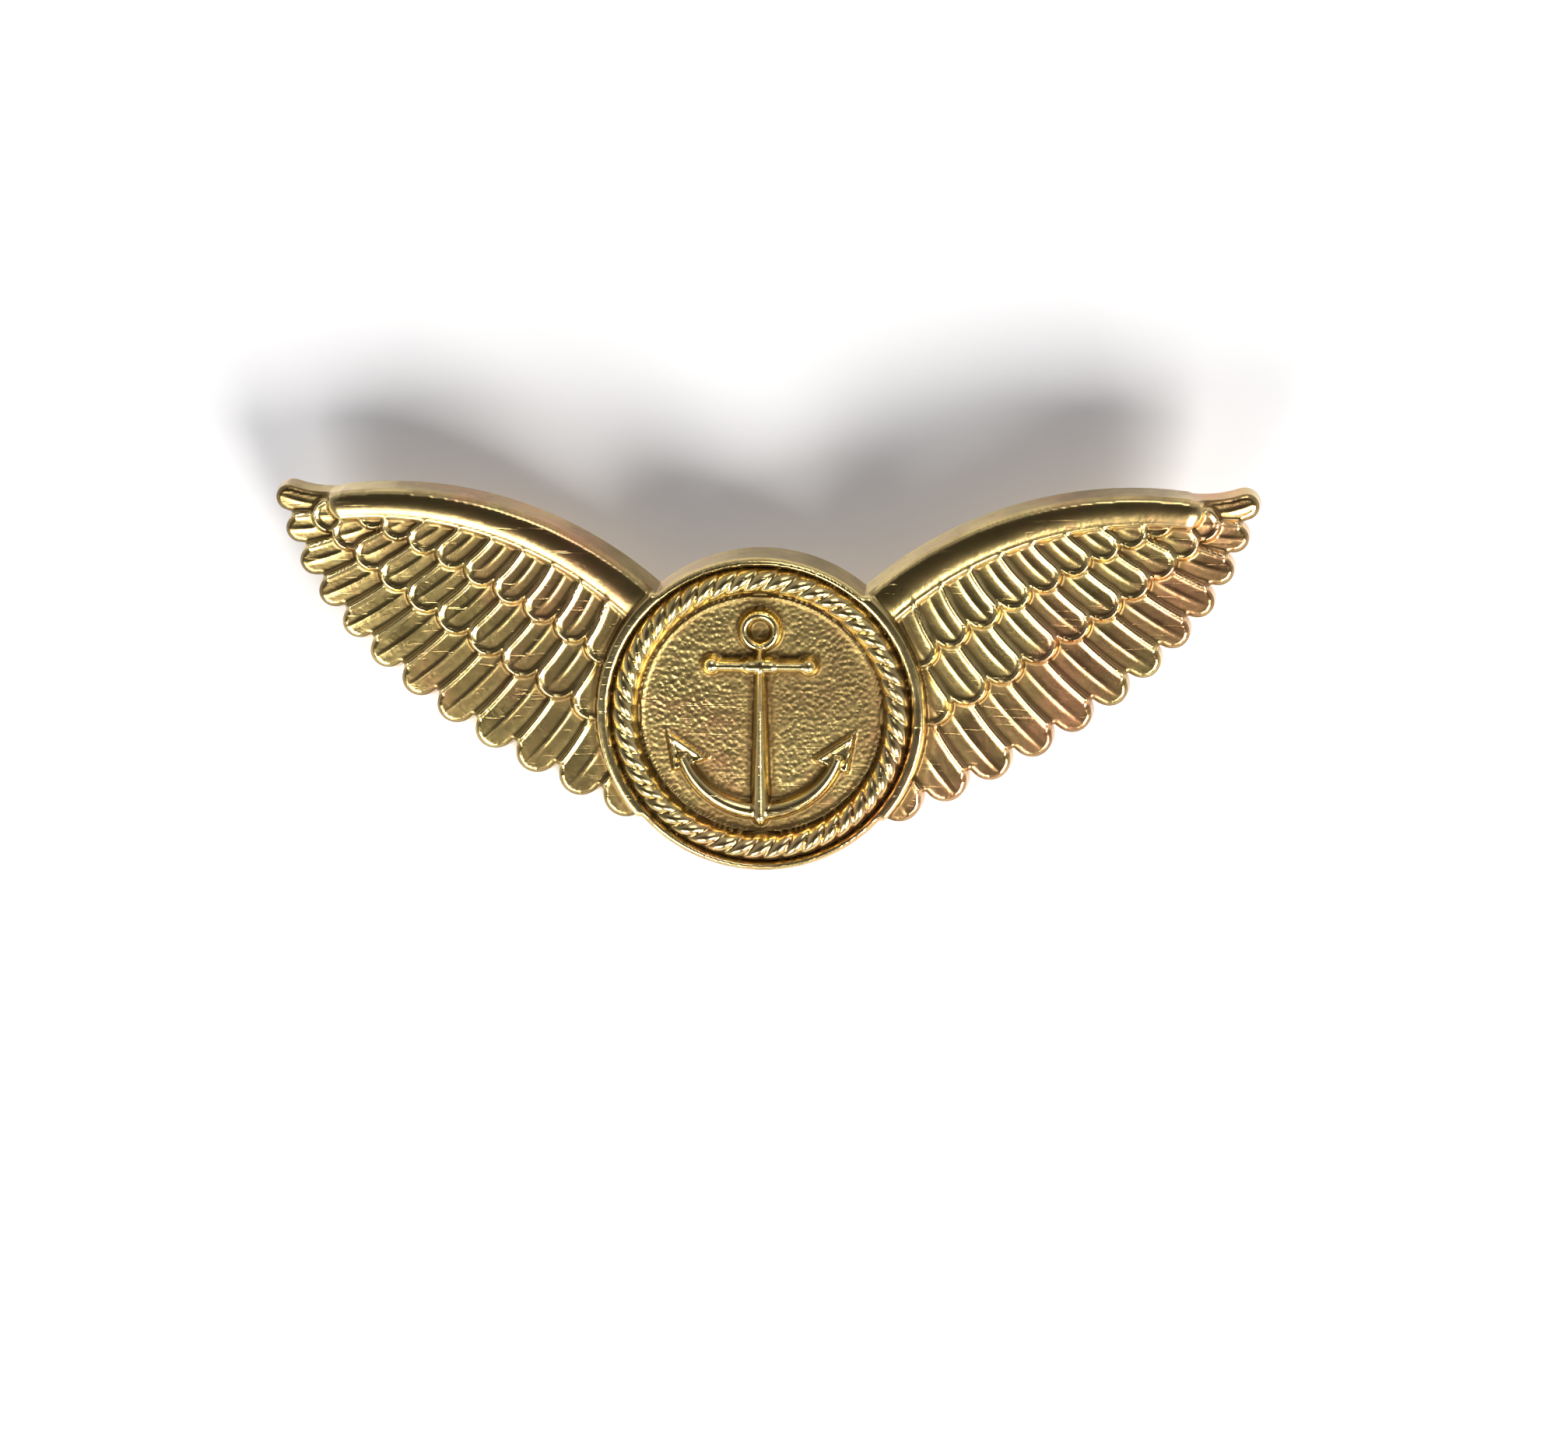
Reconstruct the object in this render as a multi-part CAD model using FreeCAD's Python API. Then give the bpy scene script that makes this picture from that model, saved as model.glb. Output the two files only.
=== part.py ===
"""Winged cap badge with a pin back.

One struck brass shell, hollow behind, carries a pin fastening: a needle on a riveted hinge,
and a turning lock that closes over the needle's end.  The badge stands upright, as it is
worn: +X is the viewer's right, +Z is up and the front faces -Y.  The origin is the centre of
the medallion on the plane of the back rim.  Lengths are millimetres, angles are degrees.
"""

import FreeCAD, Part
import math
import os

# Overall sizes of the badge
SPAN = 65.0                 # wing tip to wing tip
MEDALLION_R = 10.8          # outer radius of the round medallion
WING_TOP = 15.3             # highest point of the wings above the medallion's centre
WING_LOW = -7.3             # where the feather tips run in behind the medallion

# Heights of the struck relief, measured forward from the back rim
FEATHER_STEP = 0.03         # each feather stands this much above its outer neighbour
ARM_RISE = 2.85
RIM_RISE = 3.20
FIELD_RISE = 2.45
ROPE_RISE = 3.60
ANCHOR_RISE = 3.45
ANCHOR_PALM_RISE = 2.95

# Hollow back
WALL = 0.90                 # width of the rim that is left around the hollow
HOLLOW_DEPTH = 1.00
SCALLOP = 1.25              # extra wall behind the scalloped feather tips

# Rows of feathers.  Each pair of values runs from the wing tip to the medallion: where the
# roots sit along the arm, which share of the tip line each feather aims at, how much of that
# way it covers, half its width, and how far its middle line sags.
PRIMARIES = {"roots": (0.97, 0.03), "aims": (0.0, 1.0), "reach": (1.0, 1.0),
             "halves": (1.10, 1.75), "sags": (0.5, 1.5), "rise": 1.55}
GREATER_COVERTS = {"roots": (0.93, 0.05), "aims": (0.07, 0.97), "reach": (0.62, 0.62),
                   "halves": (1.10, 1.40), "sags": (0.45, 0.8), "rise": 1.95}
LESSER_COVERTS = {"roots": (0.86, 0.08), "aims": (0.12, 0.95), "reach": (0.33, 0.36),
                  "halves": (1.00, 1.20), "sags": (0.25, 0.4), "rise": 2.30}

# Wing layout
ARM_ROOT_ANGLE = 42.0       # where the leading edge leaves the medallion
ARM_ROOT_SINK = 2.6         # how far its root lies inside the medallion's edge
ARM_SETBACK = 5.0           # from the wing tip back to the end of the arm
ARM_CAMBER = 2.75           # rise of the leading edge above its own chord
ARM_HALF_ROOT = 1.55
ARM_HALF_END = 1.10
ARM_CHAMFER = 0.45
FEATHER_PITCH = 2.60        # most that the primary tips stand apart on the trailing edge
TIP_EVENING = 0.15          # evens out the spacing of the tips along their curve
WING_SINK = 0.05            # overlap of the wings into the medallion's edge
TIP_INSET = 0.10            # from the span's end back to the outer feather's tip point
TIP_DROP = 0.90             # outer feather's tip below the top of the wing
ARM_DROP = 0.50             # end of the arm below the top of the wing
BEND_INSET = 1.6            # the tip line turns inward here, measured from the span's end
BEND_Z = 2.2
INNER_INSET = 0.6           # the tip line ends this far inside the medallion's side

# Medallion
RIM_WIDTH = 0.70
ROPE_GAP = 0.15
ROPE_HALF = 0.90
ANCHOR_GAP = 1.0            # free field around the anchor
ANCHOR_STOCK_HALF = 3.2
ANCHOR_RING_R = 1.05
ANCHOR_RING_HALF = 0.38
ANCHOR_SHANK_HALF = 0.60
ANCHOR_ARM_HALF = 0.62
ANCHOR_BALL_R = 0.68

# Pin fastening
PIN_Z = 4.5                 # height of the needle above the medallion's centre
PIN_REACH = 17.0            # hinge and catch, each way from the middle
NEEDLE_R = 0.45
NEEDLE_POINT_R = 0.05
POINT_OVERHANG = 1.6        # how far the point passes the lock
NECK_STEP = 0.15            # half thickness of the flattened neck beyond the needle's radius
NECK_SPREAD = 0.25          # more half height of the neck where it meets the eye
NECK_LENGTH = 2.6
SHANK_CLEAR = 0.4           # plain needle ends this far before the lock
EYE_R = 1.20
EYE_SIDE_PLAY = 0.10
RIVET_R = 0.45
RIVET_SEAT = 0.01           # radial gap of the rivet in the ears
RIVET_PLAY = 0.05           # radial gap of the rivet in the eye
RIVET_HEAD_R = 0.80
RIVET_HEAD_RISE = 0.35
PAD_R = 3.0
PAD_THICK = 0.60
SOLDER_WIDTH = 0.70
BAY_CLEAR = 0.10            # between the solder and the wall of the hollow, at the least
SOLDER_RISE = 0.45
BRACKET_LENGTH = 3.8
BRACKET_SHEET = 0.50
EAR_R = 1.20

# Turning lock
NEEDLE_ROOM = 0.20          # radial gap around the needle in the lock
LOCK_WALL = 0.75
LOCK_PLAY = 0.05            # radial gap between the lock and its housing
LOCK_SIDE_PLAY = 0.08
SLOT_ROOM = 0.15            # gap on each side of the needle as it passes the lock's slot
HOUSING_WALL = 0.60
HOUSING_LENGTH = 2.40
HOUSING_SLOT_ROOM = 0.30    # the same gap in the housing's slot
HOUSING_FOOT = 3.0
LIP_THICK = 0.30
LIP_RISE = 0.30
FLANGE_THICK = 0.55
PAD_CLEAR = 0.10            # gap between the lock's flange and the pad
TAB_REACH = 3.40
TAB_WIDTH = 1.30
TAB_ANGLE = -50.0           # from straight back, towards +Z

ALONG_X = FreeCAD.Vector(1, 0, 0)
ALONG_Y = FreeCAD.Vector(0, 1, 0)
ALONG_Z = FreeCAD.Vector(0, 0, 1)


# ---- plane geometry of the wing: every point is (x, z) on the back plane ----

def on_back(x, z):
    """Point of the back plane."""
    return FreeCAD.Vector(x, 0, z)


def arc_edge(start, middle, end):
    """Circular edge through three points."""
    return Part.Arc(start, middle, end).toShape()


def raise_front(edges, rise):
    """Solid between the back plane and a flat front, over a closed outline."""
    face = Part.Face(Part.Wire(edges))
    return face.extrude(ALONG_Y * -rise)


def circle_through(start, middle, end):
    """Centre, radius and the three polar angles of the circle through three points."""
    circle = arc_edge(start, middle, end).Curve
    centre = circle.Center
    angles = [math.atan2(p.z - centre.z, p.x - centre.x) for p in (start, middle, end)]
    return centre, circle.Radius, angles


def polar(centre, radius, angle):
    """Point at a radius and polar angle from a centre."""
    return on_back(centre.x + radius * math.cos(angle), centre.z + radius * math.sin(angle))


def arm_line():
    """Middle line of the leading edge: one arc from inside the medallion to the wing end."""
    root_angle = math.radians(ARM_ROOT_ANGLE)
    root = polar(on_back(0, 0), MEDALLION_R - ARM_ROOT_SINK, root_angle)
    end = on_back(SPAN / 2 - ARM_SETBACK, WING_TOP - ARM_DROP - ARM_HALF_END)
    chord = end - root
    normal = on_back(-chord.z, chord.x).normalize()
    return root, (root + end) * 0.5 + normal * ARM_CAMBER, end


def arm_point(share):
    """Point of the leading edge, from 0 at the medallion to 1 at the wing end."""
    centre, radius, angles = circle_through(*arm_line())
    return polar(centre, radius, angles[0] + (angles[2] - angles[0]) * share)


def tip_point(share):
    """Point of the line of feather tips, from 0 at the wing tip to 1 at the medallion."""
    share = share * (1 + TIP_EVENING - TIP_EVENING * share)
    outer = on_back(SPAN / 2 - TIP_INSET, WING_TOP - TIP_DROP)
    bend = on_back(SPAN / 2 - BEND_INSET, BEND_Z)
    inner = on_back(MEDALLION_R - INNER_INSET, WING_LOW)
    rest = 1 - share
    return outer * rest ** 2 + bend * (2 * rest * share) + inner * share ** 2


def primary_count():
    """Number of long feathers that the trailing edge has room for."""
    steps = 40
    points = [tip_point(k / steps) for k in range(steps + 1)]
    length = sum((b - a).Length for a, b in zip(points, points[1:]))
    return round(length / FEATHER_PITCH)


def feather(root, tip, half_width, sag, rise):
    """Long leaf of one width on a bent middle line, with a round end."""
    chord = tip - root
    along = FreeCAD.Vector(chord).normalize()
    normal = on_back(-along.z, along.x)
    radius = (chord.Length ** 2 / 4 + sag ** 2) / (2 * sag)
    centre = (root + tip) * 0.5 + normal * (radius - sag)
    down = math.atan2(-normal.z, -normal.x)
    half_turn = math.asin(chord.Length / 2 / radius)
    first = down - half_turn
    last = down + half_turn - half_width / radius
    middle = (first + last) / 2
    outer = [polar(centre, radius + half_width, a) for a in (first, middle, last)]
    inner = [polar(centre, radius - half_width, a) for a in (last, middle, first)]
    end_centre = polar(centre, radius, last)
    end_along = on_back(-math.sin(last), math.cos(last))
    edges = [
        arc_edge(*outer),
        arc_edge(outer[2], end_centre + end_along * half_width, inner[0]),
        arc_edge(*inner),
        Part.makeLine(inner[2], outer[0]),
    ]
    return raise_front(edges, rise)


def between(pair, share):
    """Value at a share of the way from the first of a pair to the second."""
    return pair[0] + (pair[1] - pair[0]) * share


def feather_row(count, row):
    """One row of feathers, from the wing tip to the medallion, fused into one solid."""
    leaves = []
    for k in range(count):
        share = k / (count - 1)
        root = arm_point(between(row["roots"], share))
        aim = tip_point(between(row["aims"], share))
        tip = root + (aim - root) * between(row["reach"], share)
        rise = row["rise"] + FEATHER_STEP * k
        leaves.append(feather(root, tip, between(row["halves"], share), between(row["sags"], share), rise))
    return leaves[0].multiFuse(leaves[1:])


def arm():
    """Smooth bar of the leading edge, tapering to the wing end."""
    centre, radius, angles = circle_through(*arm_line())
    halves = (ARM_HALF_ROOT, (ARM_HALF_ROOT + ARM_HALF_END) / 2, ARM_HALF_END)
    upper = [polar(centre, radius + h, a) for h, a in zip(halves, angles)]
    lower = [polar(centre, radius - h, a) for h, a in zip(halves, angles)]
    end_centre = polar(centre, radius, angles[2])
    ahead = on_back(math.sin(angles[2]), -math.cos(angles[2]))
    edges = [
        arc_edge(*upper),
        arc_edge(upper[2], end_centre + ahead * ARM_HALF_END, lower[2]),
        arc_edge(lower[2], lower[1], lower[0]),
        Part.makeLine(lower[0], upper[0]),
    ]
    bar = raise_front(edges, ARM_RISE)
    front = [e for e in bar.Edges if e.BoundBox.YMax < -ARM_RISE + 0.001]
    return bar.makeChamfer(ARM_CHAMFER, front)


def wing():
    """Right wing: three overlapping rows of feathers under the leading edge."""
    count = primary_count()
    whole = arm()
    for shorter, row in enumerate((PRIMARIES, GREATER_COVERTS, LESSER_COVERTS)):
        whole = feather_row(count - shorter, row).fuse(whole)
    return whole


def wing_hollow():
    """Hollow behind the right wing, a wall's width inside the leading edge and the tips."""
    centre, radius, angles = circle_through(*arm_line())
    halves = (ARM_HALF_ROOT, (ARM_HALF_ROOT + ARM_HALF_END) / 2, ARM_HALF_END)
    upper = [polar(centre, radius + h - WALL, a) for h, a in zip(halves, angles)]
    trailing = []
    for share in (0.08, 0.29, 0.5, 0.75, 1.0):
        ahead = tip_point(min(share + 0.01, 1.0)) - tip_point(share - 0.01)
        inward = on_back(ahead.z, -ahead.x).normalize()
        trailing.append(tip_point(share) + inward * (WALL + SCALLOP))
    edges = [
        arc_edge(*upper),
        Part.makeLine(upper[2], trailing[0]),
        arc_edge(*trailing[:3]),
        arc_edge(*trailing[2:]),
        Part.makeLine(trailing[4], on_back(0, trailing[4].z)),
        Part.makeLine(on_back(0, trailing[4].z), on_back(0, upper[0].z)),
        Part.makeLine(on_back(0, upper[0].z), upper[0]),
    ]
    return raise_front(edges, HOLLOW_DEPTH)


# ---- medallion ----

def front_disc(radius, rise, base=0.0):
    """Flat disc on the medallion's axis, from one height to another."""
    return Part.makeCylinder(radius, rise - base, FreeCAD.Vector(0, -base, 0), -ALONG_Y)


def rope_radius():
    """Radius of the rope's own middle line."""
    return MEDALLION_R - RIM_WIDTH - ROPE_GAP - ROPE_HALF


def field_radius():
    """Radius of the plain field inside the rope."""
    return rope_radius() - ROPE_HALF


def medallion():
    """Disc with a raised plain rim and a rope border around a sunk field."""
    disc = front_disc(MEDALLION_R, RIM_RISE)
    sunk = front_disc(MEDALLION_R - RIM_WIDTH, RIM_RISE + 1, FIELD_RISE)
    rope_centre = FreeCAD.Vector(0, -(ROPE_RISE - ROPE_HALF), 0)
    rope = Part.makeTorus(rope_radius(), ROPE_HALF, rope_centre, ALONG_Y)
    buried = front_disc(MEDALLION_R, FIELD_RISE - 0.2)
    return disc.cut(sunk).fuse(rope.cut(buried))


def anchor():
    """Anchor in half relief: ring, shank, stock with ball ends, curved arms and palms."""
    reach = field_radius() - ANCHOR_GAP
    ring_z = reach - ANCHOR_RING_R - ANCHOR_RING_HALF
    stock_z = ring_z - ANCHOR_RING_R - 1.3
    arm_radius = reach * 0.76
    arm_z = -reach + ANCHOR_ARM_HALF + arm_radius
    depth = -(ANCHOR_RISE - ANCHOR_SHANK_HALF)

    def at(x, z):
        return FreeCAD.Vector(x, depth, z)

    ring = Part.makeTorus(ANCHOR_RING_R, ANCHOR_RING_HALF, at(0, ring_z), ALONG_Y)
    shank_length = ring_z - ANCHOR_RING_R + reach - ANCHOR_ARM_HALF
    shank = Part.makeCylinder(ANCHOR_SHANK_HALF, shank_length, at(0, -reach + ANCHOR_ARM_HALF), ALONG_Z)
    stock = Part.makeCylinder(ANCHOR_SHANK_HALF * 0.75, 2 * ANCHOR_STOCK_HALF,
                              at(-ANCHOR_STOCK_HALF, stock_z), ALONG_X)
    pieces = [ring, shank, stock]
    for side in (-1, 1):
        pieces.append(Part.makeSphere(ANCHOR_BALL_R, at(side * ANCHOR_STOCK_HALF, stock_z)))
        palm = [on_back(side * arm_radius * x, arm_z + arm_radius * z)
                for x, z in ((1.14, -0.02), (1.06, -0.50), (0.66, -0.34))]
        outline = Part.makePolygon(palm + palm[:1])
        pieces.append(Part.Face(outline).extrude(ALONG_Y * -ANCHOR_PALM_RISE))
    sweep = Part.makeTorus(arm_radius, ANCHOR_ARM_HALF, at(0, arm_z), ALONG_Y)
    below = Part.makeBox(4 * reach, 4 * reach, 2 * reach,
                         FreeCAD.Vector(-2 * reach, -2 * reach, arm_z - 0.3 * arm_radius - 2 * reach))
    pieces.append(sweep.common(below))
    whole = pieces[0].multiFuse(pieces[1:])
    buried = front_disc(MEDALLION_R, FIELD_RISE - 0.2)
    return whole.cut(buried)


def pad_bay(place):
    """Round room in the hollow that a soldered disc needs, with its ring of solder."""
    radius = PAD_R + SOLDER_WIDTH + BAY_CLEAR
    return Part.makeCylinder(radius, HOLLOW_DEPTH, FreeCAD.Vector(place.x, -HOLLOW_DEPTH, place.z), ALONG_Y)


def badge_shell():
    """The struck brass piece: wings, medallion and anchor in one, hollow behind."""
    inside = front_disc(MEDALLION_R - WING_SINK, ROPE_RISE)
    right = wing().cut(inside)
    left = right.mirror(FreeCAD.Vector(0, 0, 0), ALONG_X)
    solid = right.multiFuse([left, medallion(), anchor()])
    hollow_right = wing_hollow()
    hollow_left = hollow_right.mirror(FreeCAD.Vector(0, 0, 0), ALONG_X)
    bays = [pad_bay(hinge_centre()), pad_bay(catch_centre())]
    hollow = front_disc(MEDALLION_R - WALL, HOLLOW_DEPTH).multiFuse([hollow_right, hollow_left] + bays)
    return solid.cut(hollow).removeSplitter().Solids[0]


# ---- pin fastening ----

def pad_back():
    """Height of the back face of both pads."""
    return PAD_THICK - HOLLOW_DEPTH


def lock_bore_radius():
    """Radius of the lock's bore, in which the needle lies."""
    return NEEDLE_R + NEEDLE_ROOM


def sleeve_radius():
    """Outer radius of the lock where it turns in its housing."""
    return lock_bore_radius() + LOCK_WALL


def flange_radius():
    """Radius of the lock's flange, which covers the end of the housing."""
    return sleeve_radius() + LIP_RISE + HOUSING_WALL


def pin_lift():
    """Height of the needle's axis behind the back rim, so that the flange clears the pad."""
    return pad_back() + PAD_CLEAR + flange_radius()


def hinge_centre():
    """Where the rivet's axis crosses the needle's axis."""
    return FreeCAD.Vector(-PIN_REACH, pin_lift(), PIN_Z)


def catch_centre():
    """Middle of the turning lock, on the needle's axis."""
    return FreeCAD.Vector(PIN_REACH, pin_lift(), PIN_Z)


def pad(place):
    """Round foot that is soldered to the floor of the hollow."""
    return Part.makeCylinder(PAD_R, PAD_THICK, FreeCAD.Vector(place.x, -HOLLOW_DEPTH, place.z), ALONG_Y)


def solder_ring(place):
    """Sloping fillet of solder around a pad."""
    floor = FreeCAD.Vector(place.x, -HOLLOW_DEPTH, place.z)
    cone = Part.makeCone(PAD_R + SOLDER_WIDTH, PAD_R + SOLDER_WIDTH * 0.2, SOLDER_RISE, floor, ALONG_Y)
    return cone.cut(pad(place))


def eye_half():
    """Half the thickness of the eye and the neck, which are flattened together."""
    return NEEDLE_R + NECK_STEP


def hinge_bracket():
    """Folded sheet with two round-topped ears that hold the rivet."""
    place = hinge_centre()
    inside = eye_half() + EYE_SIDE_PLAY
    outside = inside + BRACKET_SHEET
    foot = pad_back()
    base = Part.makeBox(BRACKET_LENGTH, BRACKET_SHEET, 2 * outside,
                        FreeCAD.Vector(place.x - BRACKET_LENGTH / 2, foot, place.z - outside))
    pieces = [base]
    for z in (place.z - outside, place.z + inside):
        tall = Part.makeBox(2 * EAR_R, place.y - foot, BRACKET_SHEET,
                            FreeCAD.Vector(place.x - EAR_R, foot, z))
        top = Part.makeCylinder(EAR_R, BRACKET_SHEET, FreeCAD.Vector(place.x, place.y, z), ALONG_Z)
        pieces += [tall, top]
    folded = pieces[0].multiFuse(pieces[1:]).removeSplitter()
    bore = Part.makeCylinder(RIVET_R + RIVET_SEAT, 4 * outside,
                             place - ALONG_Z * (2 * outside), ALONG_Z)
    return folded.cut(bore)


def dome(radius, rise, place, direction):
    """Flat-backed spherical cap."""
    ball_r = (radius ** 2 + rise ** 2) / (2 * rise)
    ball = Part.makeSphere(ball_r, place - direction * (ball_r - rise))
    block = Part.makeCylinder(radius * 1.5, rise * 2, place, direction)
    return ball.common(block)


def hinge_rivet():
    """Rivet through both ears and the needle's eye, with a domed head at each end."""
    place = hinge_centre()
    outside = eye_half() + EYE_SIDE_PLAY + BRACKET_SHEET
    stem = Part.makeCylinder(RIVET_R, 2 * outside, place - ALONG_Z * outside, ALONG_Z)
    upper = dome(RIVET_HEAD_R, RIVET_HEAD_RISE, place + ALONG_Z * outside, ALONG_Z)
    lower = dome(RIVET_HEAD_R, RIVET_HEAD_RISE, place - ALONG_Z * outside, -ALONG_Z)
    return stem.multiFuse([upper, lower]).removeSplitter()


def lock_start():
    """Where the turning lock begins along the needle."""
    return catch_centre().x - HOUSING_LENGTH / 2 - LOCK_SIDE_PLAY - LIP_THICK


def lock_end():
    """Where the turning lock ends along the needle."""
    return catch_centre().x + HOUSING_LENGTH / 2 + LOCK_SIDE_PLAY + FLANGE_THICK


def needle():
    """Steel needle: flat eye, tapering flat neck, round shank and a long point."""
    place = hinge_centre()
    side = place - ALONG_Z * eye_half()
    eye = Part.makeCylinder(EYE_R, 2 * eye_half(), side, ALONG_Z)
    tall = eye_half() + NECK_SPREAD
    corners = [side + FreeCAD.Vector(x, y, 0) for x, y in
               ((0, -tall), (NECK_LENGTH, -eye_half()), (NECK_LENGTH, eye_half()), (0, tall))]
    neck = Part.Face(Part.makePolygon(corners + corners[:1])).extrude(ALONG_Z * (2 * eye_half()))
    shank_end = lock_start() - SHANK_CLEAR
    shank = Part.makeCylinder(NEEDLE_R, shank_end - place.x, place, ALONG_X)
    point_length = lock_end() + POINT_OVERHANG - shank_end
    point = Part.makeCone(NEEDLE_R, NEEDLE_POINT_R, point_length,
                          FreeCAD.Vector(shank_end, place.y, place.z), ALONG_X)
    bore = Part.makeCylinder(RIVET_R + RIVET_PLAY, 4 * eye_half(), place - ALONG_Z * (2 * eye_half()),
                             ALONG_Z)
    return eye.multiFuse([neck, shank, point]).removeSplitter().cut(bore)


def radial_slot(radius, width, start, length):
    """Cutter that opens a ring on the needle's axis straight to the back."""
    place = catch_centre()
    return Part.makeBox(length, radius * 2, width, FreeCAD.Vector(start, place.y, place.z - width / 2))


def catch_housing():
    """Open ring on a foot, in which the lock turns."""
    place = catch_centre()
    bore_r = sleeve_radius() + LOCK_PLAY
    outer_r = bore_r + HOUSING_WALL
    start = place.x - HOUSING_LENGTH / 2
    at_start = FreeCAD.Vector(start, place.y, place.z)
    ring = Part.makeCylinder(outer_r, HOUSING_LENGTH, at_start, ALONG_X)
    foot = Part.makeBox(HOUSING_LENGTH, place.y - pad_back(), HOUSING_FOOT,
                        FreeCAD.Vector(start, pad_back(), place.z - HOUSING_FOOT / 2))
    bore = Part.makeCylinder(bore_r, HOUSING_LENGTH, at_start, ALONG_X)
    slot = radial_slot(outer_r, 2 * (NEEDLE_R + HOUSING_SLOT_ROOM), start, HOUSING_LENGTH)
    return ring.fuse(foot).removeSplitter().cut(bore).cut(slot)


def catch_lock():
    """Slotted sleeve that turns in the housing, with a lip, a flange and a thumb tab."""
    place = catch_centre()
    start = lock_start()
    length = lock_end() - start
    flange_start = lock_end() - FLANGE_THICK

    def on_axis(x):
        return FreeCAD.Vector(x, place.y, place.z)

    sleeve = Part.makeCylinder(sleeve_radius(), length, on_axis(start), ALONG_X)
    lip = Part.makeCylinder(sleeve_radius() + LIP_RISE, LIP_THICK, on_axis(start), ALONG_X)
    flange = Part.makeCylinder(flange_radius(), FLANGE_THICK, on_axis(flange_start), ALONG_X)
    blade = Part.makeBox(FLANGE_THICK, TAB_REACH - TAB_WIDTH / 2, TAB_WIDTH,
                         FreeCAD.Vector(flange_start, place.y, place.z - TAB_WIDTH / 2))
    blade_end = Part.makeCylinder(TAB_WIDTH / 2, FLANGE_THICK,
                                  FreeCAD.Vector(flange_start, place.y + TAB_REACH - TAB_WIDTH / 2, place.z),
                                  ALONG_X)
    tab = blade.fuse(blade_end)
    tab.rotate(place, ALONG_X, TAB_ANGLE)
    whole = sleeve.multiFuse([lip, flange, tab]).removeSplitter()
    bore = Part.makeCylinder(lock_bore_radius(), length, on_axis(start), ALONG_X)
    return whole.cut(bore).cut(radial_slot(TAB_REACH, 2 * (NEEDLE_R + SLOT_ROOM), start, length))


def write(name, shape):
    """Save one piece of the badge."""
    shape.exportStep("parts/" + name + ".step")


os.makedirs("parts", exist_ok=True)
write("badge_shell", badge_shell())
write("hinge_pad", pad(hinge_centre()))
write("hinge_solder", solder_ring(hinge_centre()))
write("hinge_bracket", hinge_bracket())
write("hinge_rivet", hinge_rivet())
write("needle", needle())
write("catch_pad", pad(catch_centre()))
write("catch_solder", solder_ring(catch_centre()))
write("catch_housing", catch_housing())
write("catch_lock", catch_lock())
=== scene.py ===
import math

import bmesh
import bpy
import numpy as np
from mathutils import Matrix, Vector
from mathutils.geometry import delaunay_2d_cdt


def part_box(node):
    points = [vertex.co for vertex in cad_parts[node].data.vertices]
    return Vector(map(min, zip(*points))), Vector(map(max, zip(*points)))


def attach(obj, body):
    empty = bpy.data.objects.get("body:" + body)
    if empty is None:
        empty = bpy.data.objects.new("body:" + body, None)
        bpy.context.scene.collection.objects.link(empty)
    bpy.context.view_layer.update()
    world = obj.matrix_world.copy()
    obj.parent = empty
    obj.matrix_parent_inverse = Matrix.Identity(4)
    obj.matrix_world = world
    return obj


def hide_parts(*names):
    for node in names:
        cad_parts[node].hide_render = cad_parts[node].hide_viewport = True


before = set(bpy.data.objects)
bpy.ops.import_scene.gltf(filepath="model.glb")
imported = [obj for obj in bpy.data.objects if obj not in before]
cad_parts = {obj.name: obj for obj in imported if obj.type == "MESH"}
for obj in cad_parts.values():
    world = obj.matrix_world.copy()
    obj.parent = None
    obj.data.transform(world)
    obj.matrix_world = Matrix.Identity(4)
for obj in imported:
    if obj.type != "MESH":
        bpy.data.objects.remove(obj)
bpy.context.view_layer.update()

# ---- Shell -------------------------------------------------------------------------------
# One piece of brass, struck between dies: three rows of feathers under a smooth leading edge,
# and a round medallion with a rope border.  The blank is trimmed with sloping sides, gilt, and
# worn until copper shows on its high spots.  The hollow behind follows the front softly.

MM = 0.001                                  # lengths are in mm unless a comment says otherwise
shell_low, shell_high = (np.array(corner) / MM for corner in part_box("badge_shell"))
MEDALLION_R = -shell_low[2]
HALF_SPAN = 32.5
WING_TOP = 15.3
HOLLOW_DEPTH = 1.0
PAD_SPOTS = [np.add(*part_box(node)) / 2 / MM for node in ("hinge_pad", "catch_pad")]
SAME_PLACE = 0.002                          # points nearer than this count as one
SLIVER = 0.0005                             # sides shorter than this are taken out


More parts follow.
